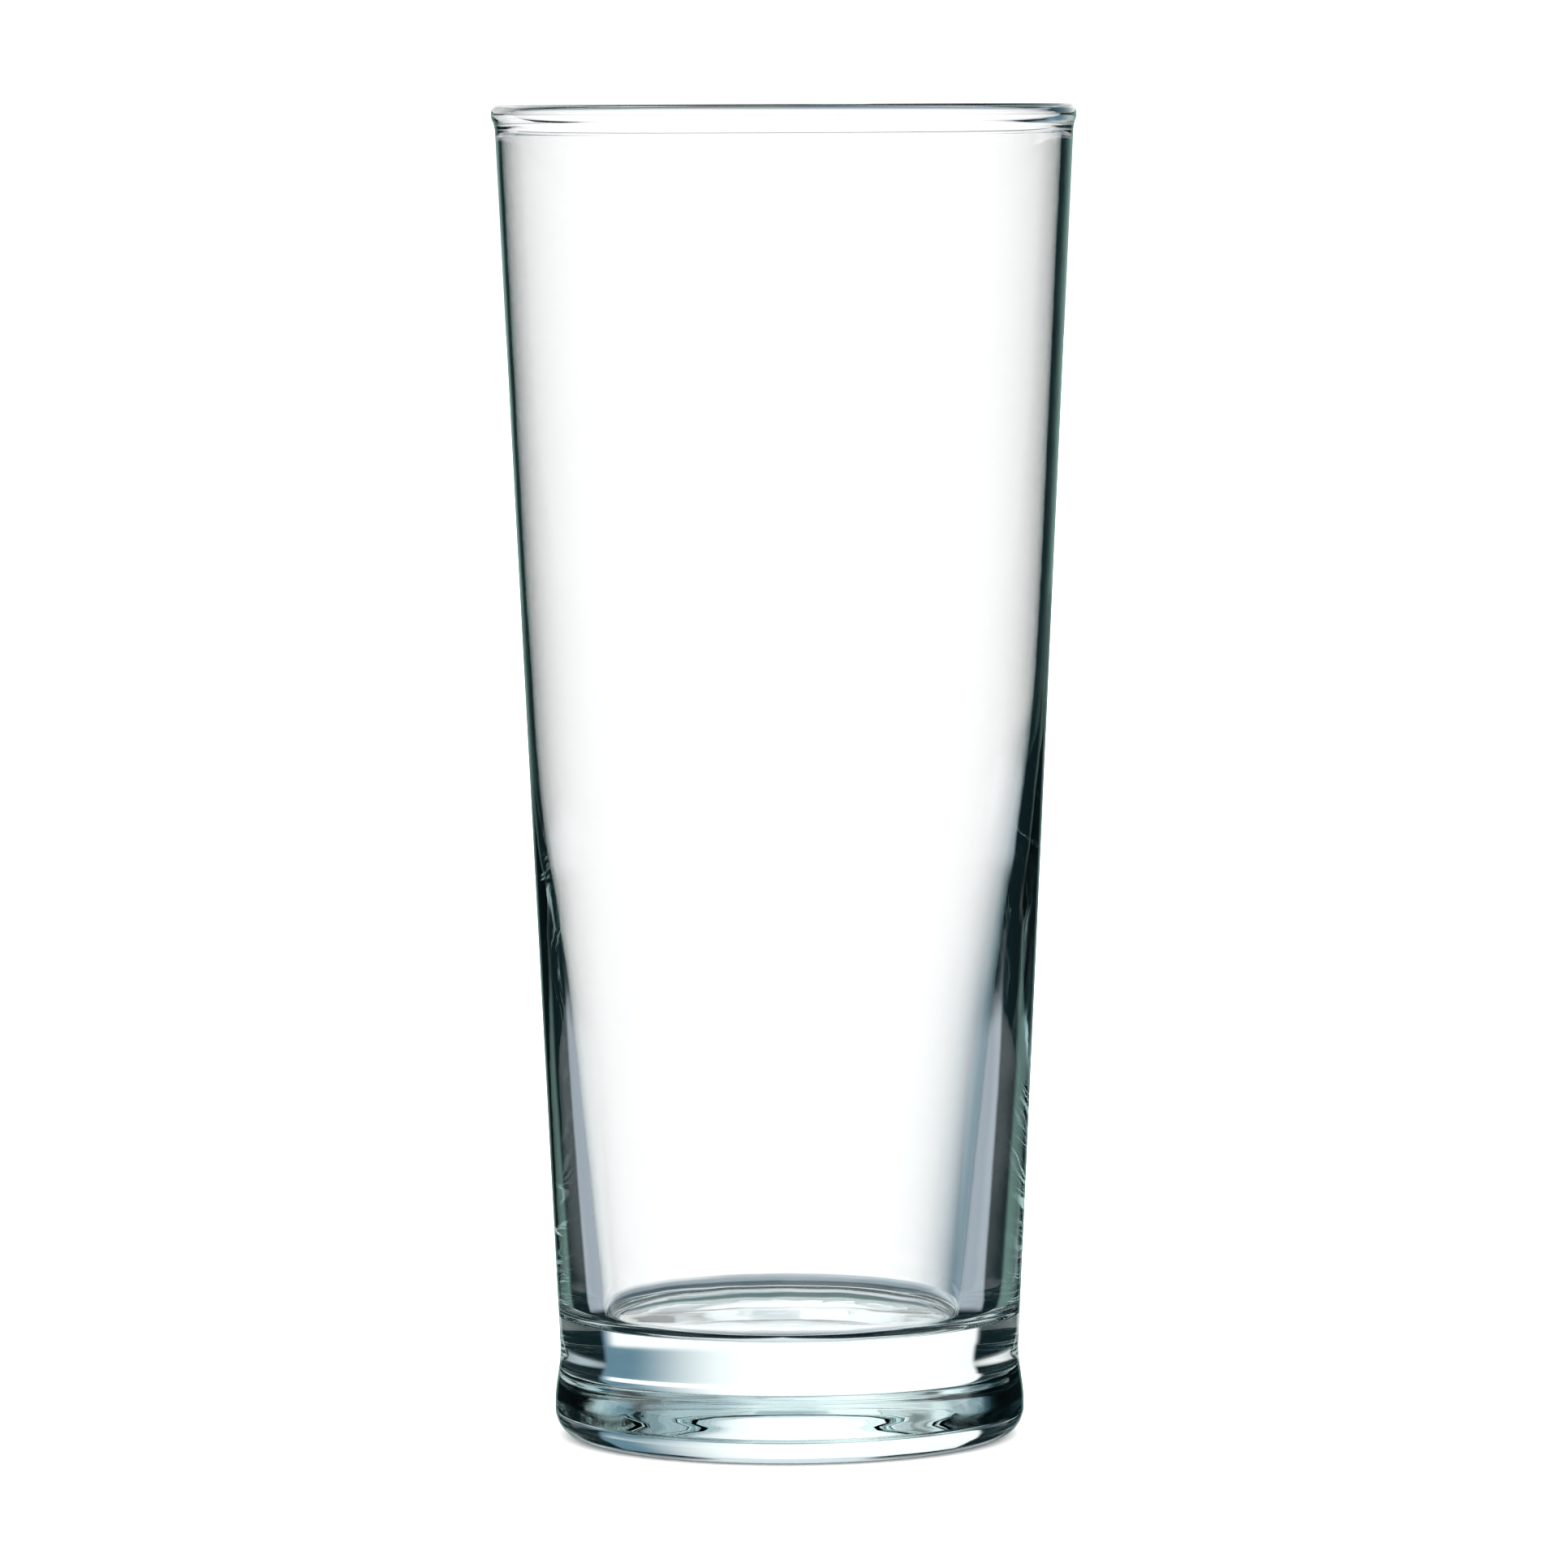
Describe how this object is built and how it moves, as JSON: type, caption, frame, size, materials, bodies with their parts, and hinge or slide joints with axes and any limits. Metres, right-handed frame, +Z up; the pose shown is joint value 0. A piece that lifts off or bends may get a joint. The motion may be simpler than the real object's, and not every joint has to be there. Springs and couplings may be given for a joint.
{
  "type": "pint glass",
  "caption": "Tall tapered beer glass with a heavy solid base, a low rounded foot and a beaded rim, holding one imperial pint",
  "frame": {"origin": "middle of the ring that the glass stands on, at table height", "axes": "+Z up along the axis of the glass; the glass is round, so +X and +Y are free"},
  "size_m": [0.079, 0.079, 0.181],
  "materials": {
    "clear_glass": "gloss"
  },
  "bodies": {
    "root": {"glass_body": "clear_glass"}
  },
  "joints": []
}
